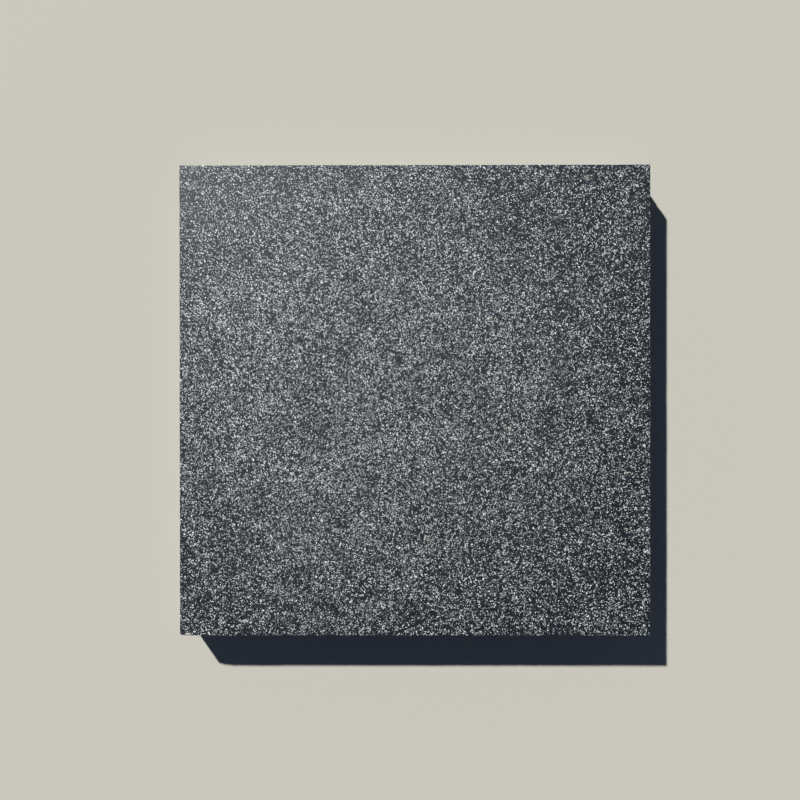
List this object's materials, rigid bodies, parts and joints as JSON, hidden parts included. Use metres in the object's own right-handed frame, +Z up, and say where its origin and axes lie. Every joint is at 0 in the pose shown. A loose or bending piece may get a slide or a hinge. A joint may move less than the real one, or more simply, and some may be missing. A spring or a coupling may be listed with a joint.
{
  "type": "granite slab",
  "caption": "Square slab of dark speckled stone with a flat honed top and crisp edges, on low round rubber feet, used as a firm base for stamping and punching leather.",
  "frame": {"origin": "on the bench, under the middle of the slab", "axes": "+Z up, square to the working face; +X to the right along the front edge; +Y from the front edge to the back edge. The chipped corner is at -X, -Y"},
  "size_m": [0.3, 0.3, 0.0228],
  "materials": {
    "stone": "satin",
    "foot_rubber": "matte",
    "foam_tape": "matte"
  },
  "bodies": {
    "root": {"granite_slab": "stone", "rubber_foot_front_left": "foot_rubber", "rubber_foot_front_right": "foot_rubber", "rubber_foot_back_left": "foot_rubber", "rubber_foot_back_right": "foot_rubber", "adhesive_disc_front_left": "foam_tape", "adhesive_disc_front_right": "foam_tape", "adhesive_disc_back_left": "foam_tape", "adhesive_disc_back_right": "foam_tape"}
  },
  "joints": []
}
